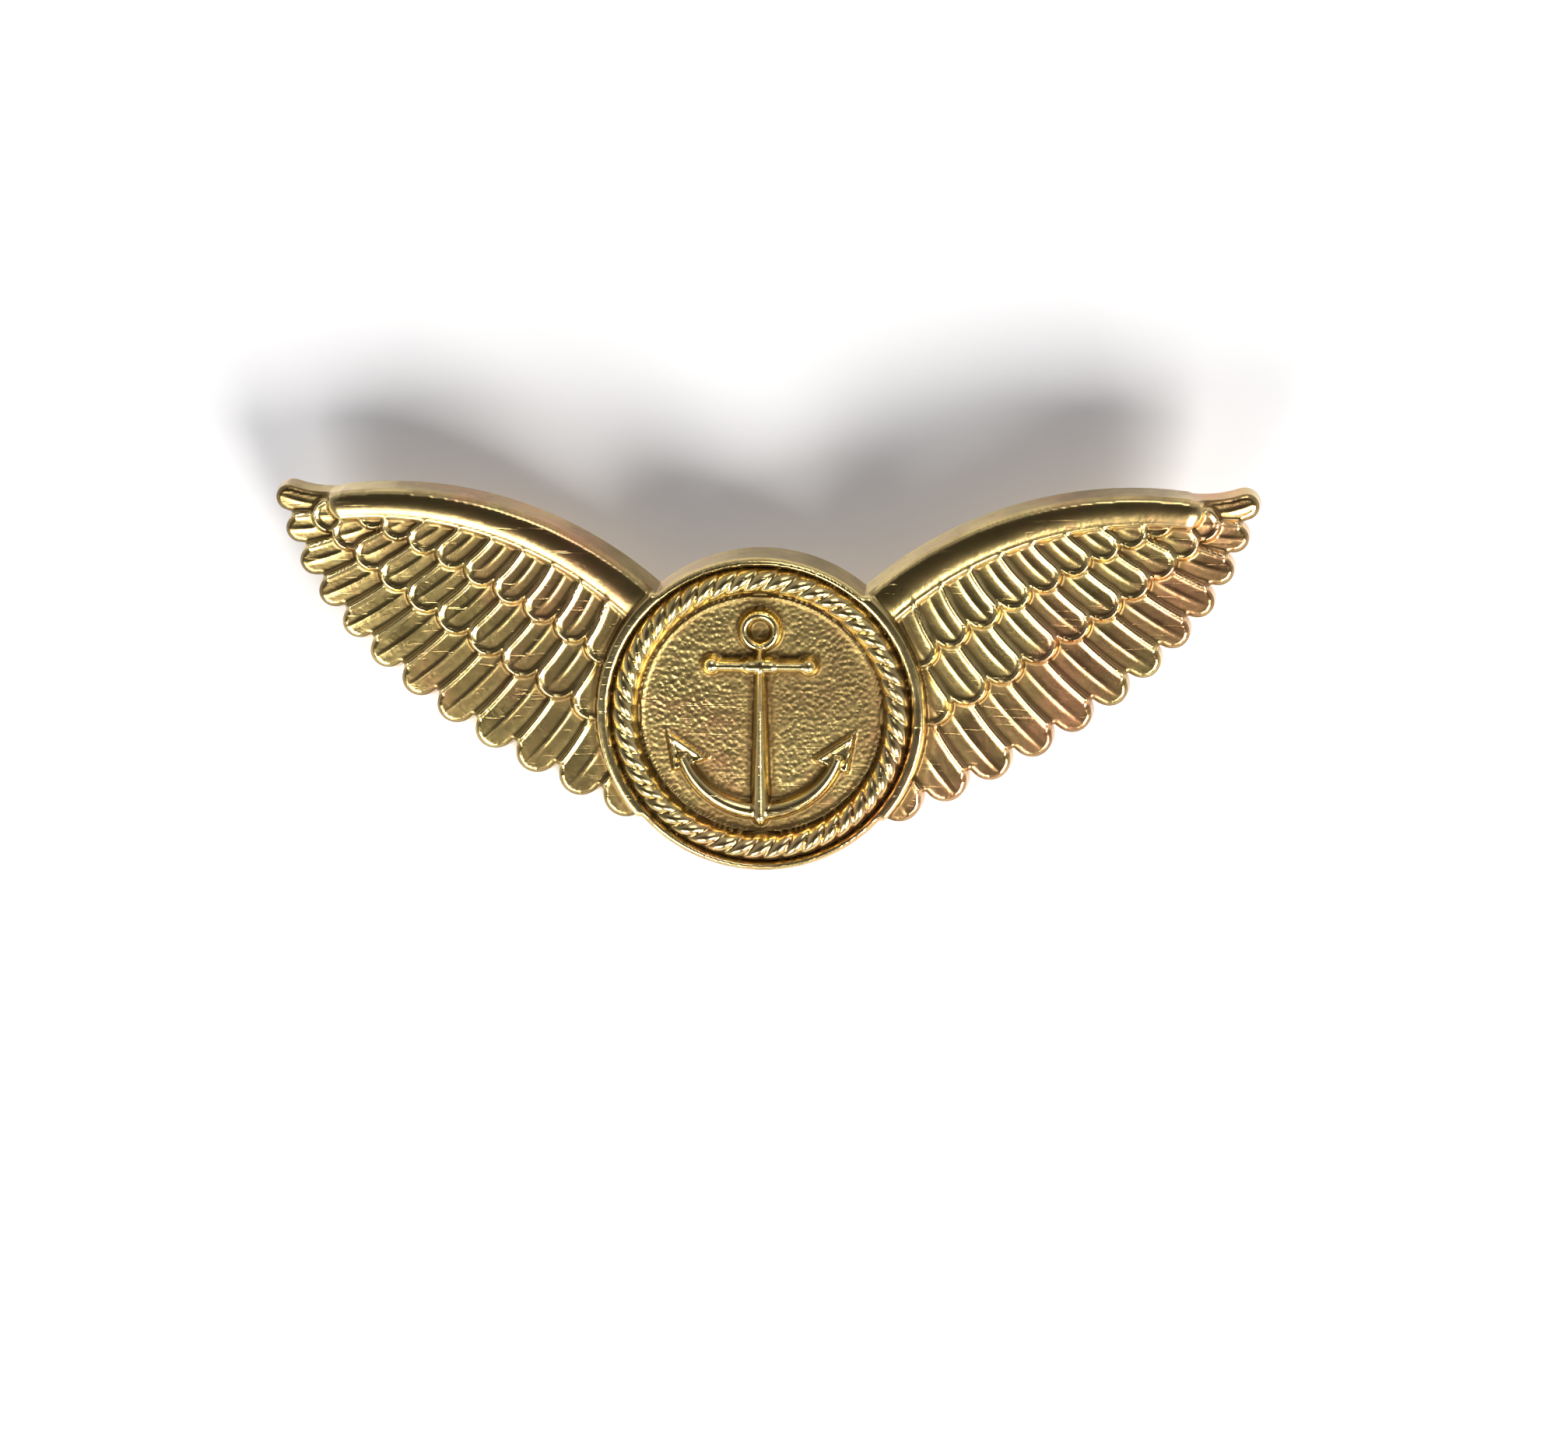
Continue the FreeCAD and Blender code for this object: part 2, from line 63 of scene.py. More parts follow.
def rim_outlines(node):
    """The back rim's outer and inner outline, each as rows of (x1, z1, x2, z2) in mm.

    A triangle side on the plane y = 0 that only one rim triangle has is part of an outline.
    Sides that share points get the same number; the widest loop is the outer outline."""
    mesh = node.data
    mesh.calc_loop_triangles()
    co = np.empty(len(mesh.vertices) * 3)
    mesh.vertices.foreach_get("co", co)
    corners = np.empty(len(mesh.loop_triangles) * 3, np.int32)
    mesh.loop_triangles.foreach_get("vertices", corners)
    places, same = np.unique(np.round(co.reshape(-1, 3) / MM, 3), axis=0, return_inverse=True)
    corners = same.ravel()[corners].reshape(-1, 3)
    rim = corners[(np.abs(places[corners, 1]) < SAME_PLACE).all(axis=1)]
    sides = np.concatenate([rim[:, [0, 1]], rim[:, [1, 2]], rim[:, [2, 0]]])
    code = sides.min(axis=1) * len(places) + sides.max(axis=1)
    _, first, times = np.unique(code, return_index=True, return_counts=True)
    a, b = sides[first[times == 1]].T
    loop = np.arange(len(places))
    while (loop[a] != loop[b]).any():
        lowest = np.minimum(loop[a], loop[b])
        np.minimum.at(loop, a, lowest)
        np.minimum.at(loop, b, lowest)
        loop = loop[loop]
    outer = loop[a] == loop[a[np.argmax(places[a, 0])]]
    rows = np.concatenate([places[a][:, [0, 2]], places[b][:, [0, 2]]], axis=1)
    return rows[outer], rows[~outer]


def nearest_on(outline, points):
    """For each point: distance to the outline, the nearest point on it, and whether it is inside.

    The nearest point of a segment a..b is a + t (b - a), with t held between 0 and 1; a point
    is inside if a ray along +x crosses the outline an odd number of times."""
    a, b = outline[:, :2], outline[:, 2:]
    along = b - a
    length2 = (along ** 2).sum(axis=1)
    distance = np.empty(len(points))
    nearest = np.empty((len(points), 2))
    inside = np.empty(len(points), bool)
    at_once = 4000
    for start in range(0, len(points), at_once):
        some = slice(start, start + at_once)
        p = points[some, None, :]
        t = np.clip(((p - a) * along).sum(axis=2) / length2, 0, 1)
        q = a + along * t[..., None]
        d2 = ((p - q) ** 2).sum(axis=2)
        best = d2.argmin(axis=1)
        rows = np.arange(len(best))
        distance[some] = np.sqrt(d2[rows, best])
        nearest[some] = q[rows, best]
        above = (a[:, 1] > p[..., 1]) != (b[:, 1] > p[..., 1])
        rise = np.where(along[:, 1] == 0, 1e-9, along[:, 1])
        ahead = a[:, 0] + along[:, 0] * (p[..., 1] - a[:, 1]) / rise > p[..., 0]
        inside[some] = (above & ahead).sum(axis=1) % 2 == 1
    return distance, nearest, inside


def lattice_on(outline, pitch, inset):
    """Square lattice of quads that fills an outline, with its border pulled to the outline.

    Cells that touch only at a corner are taken out, in a few passes.  Returns the points
    (x, z), the quads, the border sides, and for the points of the border their numbers, the
    nearest outline points and the unit vectors that point outwards."""
    least_gap, passes = 0.35 * pitch, 4
    reach_x = math.ceil(np.abs(outline[:, [0, 2]]).max() / pitch) + 1
    low_z = math.floor(outline[:, [1, 3]].min() / pitch) - 1
    high_z = math.ceil(outline[:, [1, 3]].max() / pitch) + 1
    z, x = np.meshgrid(np.arange(low_z, high_z + 1) * pitch,
                       np.arange(-reach_x, reach_x + 1) * pitch, indexing="ij")
    points = np.stack([x.ravel(), z.ravel()], axis=1)
    distance, nearest, inside = nearest_on(outline, points)
    kept = (inside & (distance > inset + least_gap)).reshape(x.shape)
    cell = kept[:-1, :-1] & kept[1:, :-1] & kept[:-1, 1:] & kept[1:, 1:]
    for _ in range(passes):
        wide = np.pad(cell, 1)
        sw, se, nw, ne = wide[:-1, :-1], wide[:-1, 1:], wide[1:, :-1], wide[1:, 1:]
        pinch = (sw & ne & ~se & ~nw) | (se & nw & ~sw & ~ne)
        cell &= ~(pinch[:-1, :-1] | pinch[1:, :-1] | pinch[:-1, 1:] | pinch[1:, 1:])
    row, column = np.nonzero(cell)
    width = x.shape[1]
    corner = row * width + column
    quads = np.stack([corner, corner + 1, corner + 1 + width, corner + width], axis=1)
    used, quads = np.unique(quads, return_inverse=True)
    quads = quads.reshape(-1, 4)
    sides = np.concatenate([quads[:, [k, (k + 1) % 4]] for k in range(4)])
    forward = sides[:, 0] * len(used) + sides[:, 1]
    border = sides[~np.isin(forward, sides[:, 1] * len(used) + sides[:, 0])]
    edge = np.unique(border)
    points, nearest = points[used], nearest[used][edge]
    outward = nearest - points[edge]
    outward /= np.linalg.norm(outward, axis=1, keepdims=True)
    points[edge] = nearest - outward * inset
    return points, quads, border, edge, nearest, outward


def circle_through(a, b, c):
    """Centre and radius of the circle through three points, which are complex numbers x + iz."""
    w = (c - a) / (b - a)
    centre = a + (b - a) * (w - abs(w) ** 2) / (2j * w.imag)
    return centre, abs(a - centre)


# The leading edge is one arc from inside the medallion to the wing's end
ARM_HALF = (1.55, 1.10)                     # half its width at the medallion and at the end
ARM_ROOT_IN, ARM_ROOT_TURN = 2.6, 42.0      # inside the medallion's edge, degrees upwards
ARM_END_IN, ARM_END_DOWN = 5.0, 0.5         # from the wing's end and from its top
ARM_BULGE = 2.75                            # of the arc over its chord
arm_root = (MEDALLION_R - ARM_ROOT_IN) * np.exp(1j * math.radians(ARM_ROOT_TURN))
arm_end = complex(HALF_SPAN - ARM_END_IN, WING_TOP - ARM_END_DOWN - ARM_HALF[1])
arm_way = arm_end - arm_root
arm_middle = (arm_root + arm_end) / 2 + 1j * arm_way / abs(arm_way) * ARM_BULGE
arm_centre, arm_radius = circle_through(arm_root, arm_middle, arm_end)
arm_first, arm_last = np.angle(arm_root - arm_centre), np.angle(arm_end - arm_centre)


def arm_point(share):
    """Point of the leading edge, from 0 at the medallion to 1 at the wing's end."""
    return arm_centre + arm_radius * np.exp(1j * (arm_first + (arm_last - arm_first) * share))


TIP_OUTER = complex(HALF_SPAN - 0.1, WING_TOP - 0.9)
TIP_BEND = complex(HALF_SPAN - 1.6, 2.2)
TIP_INNER = complex(MEDALLION_R - 0.6, -7.3)
TIP_CROWDING = 0.15                         # how much closer the tips stand near the medallion


def tip_point(share):
    """Point of the line of feather tips: a second-degree curve from wing tip to medallion."""
    share = share * (1 + TIP_CROWDING - TIP_CROWDING * share)
    return TIP_OUTER * (1 - share) ** 2 + TIP_BEND * 2 * (1 - share) * share + TIP_INNER * share ** 2


FEATHER_PITCH = 2.60                        # along the line of tips
tip_line = tip_point(np.linspace(0, 1, 41))
PRIMARIES = round(np.abs(np.diff(tip_line)).sum() / FEATHER_PITCH)
# Rows of feathers from below to above.  Pairs go from the wing's end to the medallion: roots as
# shares of the leading edge, aims as shares of the line of tips, reach as a share of the way.
ROWS = [
    {"count": PRIMARIES, "roots": (0.97, 0.03), "aims": (0.0, 1.0), "reach": (1.0, 1.0),
     "halves": (1.10, 1.75), "sags": (0.5, 1.5), "rise": 1.55},
    {"count": PRIMARIES - 1, "roots": (0.93, 0.05), "aims": (0.07, 0.97), "reach": (0.62, 0.62),
     "halves": (1.10, 1.40), "sags": (0.45, 0.8), "rise": 1.95},
    {"count": PRIMARIES - 2, "roots": (0.86, 0.08), "aims": (0.12, 0.95), "reach": (0.33, 0.36),
     "halves": (1.00, 1.20), "sags": (0.25, 0.4), "rise": 2.30},
]


def between(pair, share):
    """Value at a share of the way from the first of a pair to the second."""
    return pair[0] + (pair[1] - pair[0]) * share


def ridge(offset, width, rise):
    """Fine raised line: a bell curve over the distance to its middle."""
    return rise * np.exp(-(offset / width) ** 2)


VANE_TILT, VANE_DISH, DISH_WIDTH = 0.13, 0.07, 0.5
EDGE_RISE, EDGE_INSET, EDGE_WIDTH = 0.13, 0.16, 0.11
SHAFT_RISE, SHAFT_WIDTH, SHAFT_END = 0.07, 0.12, 1.6        # the end is in half widths
LIP_DROP, LIP_WIDTH = 0.10, 0.10
FEATHER_STEP = 0.03                         # each feather lies this much over the last one
FEATHER_SIDE, BAR_SIDE, RIM_SIDE, SKIRT_SIDE = 2.6, 3.0, 4.0, 6.0    # slopes, height over width


def feather_relief(p, root, tip, half, sag, top):
    """Height of one feather over the points p, falling away steeply outside it.

    The middle line is an arc.  Across it the vane is tilted, dished between two raised edges,
    and has a fine shaft; the raised edge runs round the free end, which is half a circle."""
    chord = tip - root
    across_way = 1j * chord / abs(chord)
    radius = (abs(chord) ** 2 / 4 + sag ** 2) / (2 * sag)
    centre = (root + tip) / 2 + across_way * (radius - sag)
    half_turn = math.asin(abs(chord) / 2 / radius)
    local = (p - centre) / -across_way
    angle = np.angle(local)
    offset = np.abs(local) - radius
    last = half_turn - half / radius
    side = np.maximum(np.abs(offset) - half, (-half_turn - angle) * radius)
    cap = np.abs(local - radius * np.exp(1j * last)) - half
    outside = np.where(angle > last, cap, side)
    inward = np.maximum(-outside, 0)
    v = np.clip(offset / half, -1, 1)
    left = np.clip((half_turn - angle) * radius / (half * SHAFT_END), 0, 1)
    height = top - VANE_TILT * v - VANE_DISH * np.clip(inward / DISH_WIDTH, 0, 1)
    height += ridge(inward - EDGE_INSET, EDGE_WIDTH, EDGE_RISE)
    height += ridge(offset, SHAFT_WIDTH, SHAFT_RISE * left)
    height -= LIP_DROP * np.clip(1 - inward / LIP_WIDTH, 0, 1) ** 2
    return height - FEATHER_SIDE * np.maximum(outside, 0)


ARM_FOOT, ARM_CROWN, ARM_FALL = 2.20, 0.65, 0.25
ARM_FULLNESS = 0.96                         # share of a half circle that its section uses
BEAD_PLACE, BEAD_WIDTH, BEAD_RISE = 0.80, 0.12, 0.10        # the place is in half widths


def arm_relief(p):
    """Height of the smooth leading edge: a rounded bar that tapers, with a bead along its foot."""
    local = p - arm_centre
    share = (np.angle(local) - arm_first) / (arm_last - arm_first)
    offset = np.abs(local) - arm_radius
    half = between(ARM_HALF, np.clip(share, 0, 1))
    beyond = np.abs(p - arm_end) - half
    outside = np.where(share > 1, beyond, np.abs(offset) - half)
    v = np.clip(np.where(share > 1, np.abs(p - arm_end), np.abs(offset)) / half, 0, 1)
    height = ARM_FOOT + ARM_CROWN * np.sqrt(1 - (v * ARM_FULLNESS) ** 2)
    height -= ARM_FALL * np.clip(share, 0, 1) ** 2
    height += ridge(offset + half * BEAD_PLACE, BEAD_WIDTH, BEAD_RISE)
    return height - BAR_SIDE * np.maximum(outside, 0)


def wing_relief(p):
    """Highest of the leading edge and all feathers of the right wing."""
    height = arm_relief(p)
    for row in ROWS:
        for k in range(row["count"]):
            share = k / (row["count"] - 1)
            root = arm_point(between(row["roots"], share))
            aim = tip_point(between(row["aims"], share))
            tip = root + (aim - root) * between(row["reach"], share)
            leaf = feather_relief(p, root, tip, between(row["halves"], share),
                                  between(row["sags"], share), row["rise"] + FEATHER_STEP * k)
            height = np.maximum(height, leaf)
    return height


RIM_RISE, FIELD_RISE, ROPE_RISE, ANCHOR_RISE = 3.20, 2.45, 3.60, 3.45
RIM_WIDTH, GROOVE, ROPE_HALF = 0.70, 0.15, 0.90
ROPE_R = MEDALLION_R - RIM_WIDTH - GROOVE - ROPE_HALF
FIELD_R = ROPE_R - ROPE_HALF
SUNK = 0.05                                 # how deep rope and anchor stand in the field
STRANDS, STRAND_SLANT, STRAND_FULLNESS, STRAND_DEPTH = 46, 0.60, 0.97, 0.40
FIELD_LINE_IN, FIELD_LINE_WIDTH, FIELD_LINE_RISE = 0.22, 0.10, 0.16
RIM_CROWN, RIM_CROWN_WIDTH = 0.05, 0.2


def rounded_bar(distance, half, foot, top):
    """Half-round bar over its distance to the middle line, with steep sides beyond its width."""
    return foot + (top - foot) * np.sqrt(np.clip(1 - (distance / half) ** 2, 0, 1)) \
        - BAR_SIDE * np.maximum(distance - half, 0)


ANCHOR_MARGIN = 1.0                         # from the anchor to the edge of the field
RING_R, RING_HALF, RING_DOWN = 1.05, 0.40, 0.38
SHANK_HALF, SHANK_TAPER, SHANK_UP = 0.72, 0.035, 0.6
SHANK_LINE_WIDTH, SHANK_LINE_RISE = 0.10, 0.06
STOCK_REACH, STOCK_HALF, STOCK_DOWN = 3.2, 0.47, 1.3
BALL_HALF, COLLAR_HALF, COLLAR_REACH = 0.70, 0.62, 0.75
SWEEP_SHARE, SWEEP_UP, SWEEP_HALF, SWEEP_SWELL, SWEEP_FROM = 0.76, 0.62, 0.46, 0.22, 0.30
PALM_CORNERS = ((1.14, -0.02), (0.66, -0.34), (1.06, -0.50))     # in radii of the curved arms
PALM_RISE, PALM_EDGE_IN, PALM_EDGE_WIDTH, PALM_EDGE_RISE = 0.42, 0.14, 0.11, 0.16
CROWN_HALF, CROWN_UP, CROWN_FLATNESS = 0.62, 0.35, 0.8
RING_DROP, STOCK_DROP, SWEEP_DROP, KNOB_RISE = 0.20, 0.10, 0.15, 0.05    # off the shank's top
SWEEP_SPAN = 1.27                           # radians over which the arms swell to the crown
FAR = 9.0                                   # a distance that nothing reaches


def anchor_relief(p):
    """Height of the anchor: ring, shank, stock with ball ends, curved arms, palms and crown."""
    x, z = np.abs(p.real), p.imag
    reach = FIELD_R - ANCHOR_MARGIN
    ring_z = reach - RING_R - RING_DOWN
    stock_z = ring_z - RING_R - STOCK_DOWN
    sweep_r = reach * SWEEP_SHARE
    sweep_z = -reach + SWEEP_UP + sweep_r
    foot = FIELD_RISE - SUNK
    ring = rounded_bar(np.abs(np.hypot(x, z - ring_z) - RING_R), RING_HALF, foot,
                       ANCHOR_RISE - RING_DROP)
    shank_z = np.clip(z, -reach + SHANK_UP, ring_z - RING_R)
    shank_half = SHANK_HALF - SHANK_TAPER * (shank_z + reach)
    shank = rounded_bar(np.hypot(x, z - shank_z), shank_half, foot, ANCHOR_RISE)
    shank += ridge(x, SHANK_LINE_WIDTH, SHANK_LINE_RISE)
    along_stock = np.hypot(np.maximum(x - STOCK_REACH, 0), z - stock_z)
    stock = rounded_bar(along_stock, STOCK_HALF, foot, ANCHOR_RISE - STOCK_DROP)
    ball = rounded_bar(np.hypot(x - STOCK_REACH, z - stock_z), BALL_HALF, foot, ANCHOR_RISE)
    along_collar = np.hypot(np.maximum(x - COLLAR_REACH, 0), z - stock_z)
    collar = rounded_bar(along_collar, COLLAR_HALF, foot, ANCHOR_RISE + KNOB_RISE)
    below = np.arctan2(sweep_z - z, x)
    away = np.where(below > SWEEP_FROM, np.abs(np.hypot(x, z - sweep_z) - sweep_r), FAR)
    sweep_half = SWEEP_HALF + SWEEP_SWELL * np.clip((below - SWEEP_FROM) / SWEEP_SPAN, 0, 1)
    sweep = rounded_bar(away, sweep_half, foot, ANCHOR_RISE - SWEEP_DROP)
    corners = [complex(sweep_r * u, sweep_z + sweep_r * w) for u, w in PALM_CORNERS]
    folded = x + 1j * z
    edges = [((folded - a) * np.conj(b - a)).imag / abs(b - a)
             for a, b in zip(corners, corners[1:] + corners[:1])]
    palm_out = -np.minimum.reduce(edges)
    palm_in = np.maximum(-palm_out, 0)
    palm = foot + PALM_RISE + ridge(palm_in - PALM_EDGE_IN, PALM_EDGE_WIDTH, PALM_EDGE_RISE)
    palm = palm - BAR_SIDE * np.maximum(palm_out, 0)
    crown = rounded_bar(np.hypot(x, (z + reach - CROWN_UP) * CROWN_FLATNESS), CROWN_HALF, foot,
                        ANCHOR_RISE + KNOB_RISE)
    return np.maximum.reduce([ring, shank, stock, ball, collar, sweep, palm, crown])


def medallion_relief(p):
    """Height of the medallion: plain rim, groove, rope of slanting strands, fine ring and anchor.

    Around the rope the strands are counted by the angle plus a slant across its width, and
    each one is a small arch on the rope's own half-round section."""
    r, turn = np.abs(p), np.angle(p) / (2 * math.pi)
    across = (r - ROPE_R) / ROPE_HALF
    lay = np.mod(turn * STRANDS + across * STRAND_SLANT, 1) * 2 - 1
    arch = np.sqrt(np.clip(1 - across ** 2, 0, 1))
    strand = np.sqrt(np.clip(1 - (lay * STRAND_FULLNESS) ** 2, 0, 1))
    strand = 1 - STRAND_DEPTH + STRAND_DEPTH * strand
    rope = FIELD_RISE - SUNK + (ROPE_RISE - FIELD_RISE + SUNK) * arch * strand
    field = FIELD_RISE + ridge(r - FIELD_R + FIELD_LINE_IN, FIELD_LINE_WIDTH, FIELD_LINE_RISE)
    from_rim = np.abs(r - (MEDALLION_R - RIM_WIDTH / 2)) - RIM_WIDTH / 2
    rim = RIM_RISE + RIM_CROWN * np.clip(-from_rim / RIM_CROWN_WIDTH, 0, 1)
    rim -= RIM_SIDE * np.maximum(from_rim, 0)
    return np.maximum.reduce([field, np.where(np.abs(across) < 1, rope, 0), rim, anchor_relief(p)])


STEP_SOFTNESS = 0.04                        # how far aside the relief is read to soften steps


def relief(x, z):
    """Height of the struck front over points of the back plane.

    Five readings around each point are averaged, so that steps stay smooth on the lattice."""
    total = np.zeros(x.shape)
    for right, up in ((0, 0), (1, 1), (-1, 1), (1, -1), (-1, -1)):
        dx, dz = right * STEP_SOFTNESS, up * STEP_SOFTNESS
        p = np.abs(x + dx) + 1j * (z + dz)
        r = np.abs(p)
        skirt = RIM_RISE - SKIRT_SIDE * (r - MEDALLION_R)
        total += np.where(r < MEDALLION_R, medallion_relief(x + dx + 1j * (z + dz)),
                          np.maximum(wing_relief(p), skirt))
    return total / 5


def soft_relief(x, z, pitch, blur):
    """The relief smeared over a distance, read from a coarse lattice by bilinear steps.

    The smear is a product of two bell curves, and only the badge's own area counts."""
    margin, on_badge = 2, 0.9
    gx = np.arange(-HALF_SPAN - margin, HALF_SPAN + margin, pitch)
    gz = np.arange(shell_low[2] - margin, shell_high[2] + margin, pitch)
    full_z, full_x = np.meshgrid(gz, gx, indexing="ij")
    height = np.maximum(relief(full_x, full_z), 0)
    weight = (height > on_badge).astype(float)
    reach = np.arange(-math.ceil(3 * blur / pitch), math.ceil(3 * blur / pitch) + 1) * pitch
    bell = np.exp(-0.5 * (reach / blur) ** 2)

    def smear(values):
        """Both passes of the bell curve, along z and then along x."""
        values = np.apply_along_axis(np.convolve, 0, values, bell, "same")
        return np.apply_along_axis(np.convolve, 1, values, bell, "same")

    smooth = smear(height * weight) / np.maximum(smear(weight), 1e-3)
    u, w = (x - gx[0]) / pitch, (z - gz[0]) / pitch
    i, j = u.astype(int), w.astype(int)
    fu, fw = u - i, w - j
    return (smooth[j, i] * (1 - fu) * (1 - fw) + smooth[j, i + 1] * fu * (1 - fw)
            + smooth[j + 1, i] * (1 - fu) * fw + smooth[j + 1, i + 1] * fu * fw)


FRONT_PITCH, BACK_PITCH = 0.118, 0.24
FRONT_DRAFT, BACK_DRAFT = 0.26, 0.34        # how far the side walls lean
FRONT_STEPS, BACK_STEPS = (0.12, 0.32, 0.56, 0.8, 1.0), (0.25, 0.5, 0.75, 1.0)
EDGE_ROUND = 0.28
BACK_BEND = 1.6                             # power that hollows the walls behind
PAD_FLAT, PAD_FADE = 3.9, 1.5               # flat floor round a pad's middle, then a slope
SINK_FROM, SINK_MOST, SINK_SHARE, SINK_EDGE = 2.0, 1.3, 0.55, 0.8
FILLET_WIDTH, FILLET_RISE = 0.45, 0.30


def side_walls(places, lattice, draft, steps, bend):
    """Rings of points that lead from the border of a surface out to the outline on y = 0.

    Each step is a share of the way to that plane, and the way outwards is bent by a power.
    Returns all points, the wall faces, and for each border side its two points at the foot."""
    border, edge, nearest, outward = lattice[2:]
    side = np.searchsorted(edge, border)
    rings, faces, last = [places], [], edge
    for share in steps:
        ring = np.empty((len(edge), 3))
        ring[:, [0, 2]] = nearest - outward * draft * (1 - share) ** bend
        ring[:, 1] = places[edge, 1] * (1 - share)
        new = np.arange(len(edge)) + sum(len(r) for r in rings)
        rings.append(ring)
        faces.append(np.concatenate([last[side[:, ::-1]], new[side]], axis=1))
        last = new
    return np.concatenate(rings), np.concatenate(faces), last[side]


def shell_front(outline):
    """Front surface with its sloping side walls down to the back rim.

    The lattice carries the relief.  Towards the trimmed edge it drops by a quarter circle.
    The last value returned is how far each point stands over its surroundings."""
    lattice = lattice_on(outline, FRONT_PITCH, FRONT_DRAFT)
    points, quads = lattice[:2]
    x, z = points.T
    distance = nearest_on(outline, points)[0] - FRONT_DRAFT
    shy = np.clip(1 - np.maximum(distance, 0) / EDGE_ROUND, 0, 1)
    height = relief(x, z) - EDGE_ROUND * (1 - np.sqrt(1 - shy ** 2))
    places, walls, foot = side_walls(np.stack([x, -height, z], axis=1), lattice, FRONT_DRAFT,
                                     FRONT_STEPS, 1)
    return places, quads, walls, foot, height - soft_relief(x, z, pitch=0.2, blur=0.45)


def shell_back(outline):
    """Floor of the hollow with its sloping walls up to the back rim, facing backwards.

    The floor sinks where the front stands high, but stays flat around the two soldered pads."""
    lattice = lattice_on(outline, BACK_PITCH, BACK_DRAFT)
    points, quads = lattice[:2]
    x, z = points.T
    lift = np.clip(soft_relief(x, z, pitch=0.25, blur=0.42) - SINK_FROM, 0, SINK_MOST)
    for spot in PAD_SPOTS:
        lift *= np.clip((np.hypot(x - spot[0], z - spot[2]) - PAD_FLAT) / PAD_FADE, 0, 1)
    distance = nearest_on(outline, points)[0] - BACK_DRAFT
    lift *= np.clip(distance / SINK_EDGE, 0, 1)
    floor = -HOLLOW_DEPTH - SINK_SHARE * lift
    floor += FILLET_RISE * np.clip(1 - distance / FILLET_WIDTH, 0, 1) ** 2
    places, walls, foot = side_walls(np.stack([x, floor, z], axis=1), lattice, BACK_DRAFT,
                                     BACK_STEPS, BACK_BEND)
    return places, quads[:, ::-1], walls[:, ::-1], foot


def build_mesh(name, places, faces, values=None):
    """New mesh object from points in mm, faces, and named numbers for each point."""
    mesh = bpy.data.meshes.new(name)
    mesh.from_pydata(places * MM, [], faces)
    for key, numbers in (values or {}).items():
        layer = mesh.attributes.new(key, "FLOAT", "POINT")
        layer.data.foreach_set("value", numbers.astype(np.float32))
    made = bpy.data.objects.new(name, mesh)
    bpy.context.scene.collection.objects.link(made)
    mesh.shade_smooth()
    return made


def cleaned(made, join=0, sliver=0, flat=0):
    """Joins near points, takes out slivers, merges faces within an angle, turns all outwards."""
    work = bmesh.new()
    work.from_mesh(made.data)
    if join:
        bmesh.ops.remove_doubles(work, verts=work.verts[:], dist=join * MM)
    if sliver:
        bmesh.ops.dissolve_degenerate(work, edges=work.edges[:], dist=sliver * MM)
    if flat:
        bmesh.ops.dissolve_limit(work, verts=work.verts[:], edges=work.edges[:],
                                 angle_limit=math.radians(flat))
    bmesh.ops.recalc_face_normals(work, faces=work.faces[:])
    work.to_mesh(made.data)
    work.free()
    made.data.shade_smooth()


RECESS_FULL, RUB_FULL = 0.22, 0.30          # relief that counts as a full recess or high spot
STIPPLE_IN, STIPPLE_STEP = 0.3, 0.12        # from the field's edge, and off the field's level
KEEP_INSIDE = 1                             # the triangulation keeps what lies in the outlines
outer_outline, inner_outline = rim_outlines(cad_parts["badge_shell"])
front_places, front_quads, front_walls, front_foot, contrast = shell_front(outer_outline)
back_places, back_quads, back_walls, back_foot = shell_back(inner_outline)
shift = len(front_places)
all_places = np.concatenate([front_places, back_places])
all_faces = np.concatenate([front_quads, front_walls, back_quads + shift, back_walls + shift])
detail = np.zeros(len(all_places))
detail[:len(contrast)] = contrast
radius_of = np.hypot(all_places[:, 0], all_places[:, 2])
on_front = np.arange(len(all_places)) < len(contrast)
on_field = np.abs(-all_places[:, 1] - FIELD_RISE) < STIPPLE_STEP
in_field = on_front & (radius_of < FIELD_R - STIPPLE_IN) & on_field
feet = np.concatenate([front_foot, back_foot + shift])
rim_points = np.unique(feet)
triangulated = delaunay_2d_cdt([Vector(point) for point in all_places[rim_points][:, [0, 2]]],
                               np.searchsorted(rim_points, feet).tolist(), [], KEEP_INSIDE, SLIVER)
rim_first = np.array([rim_points[origin[0]] for origin in triangulated[3]])
rim_faces = rim_first[np.array(triangulated[2])]
in_hollow = nearest_on(inner_outline, all_places[rim_faces][:, :, [0, 2]].mean(axis=1))[2]
rim_faces = rim_faces[~in_hollow]
badge = build_mesh("struck_shell", all_places, all_faces.tolist() + rim_faces.tolist(), {
    "recess": np.clip(-detail / RECESS_FULL, 0, 1),
    "rub": np.clip(detail / RUB_FULL, 0, 1),
    "stipple": in_field.astype(float),
    "behind": (np.arange(len(all_places)) >= shift).astype(float),
})
cleaned(badge, SAME_PLACE, SLIVER)
badge.data.set_sharp_from_angle(angle=math.radians(62))


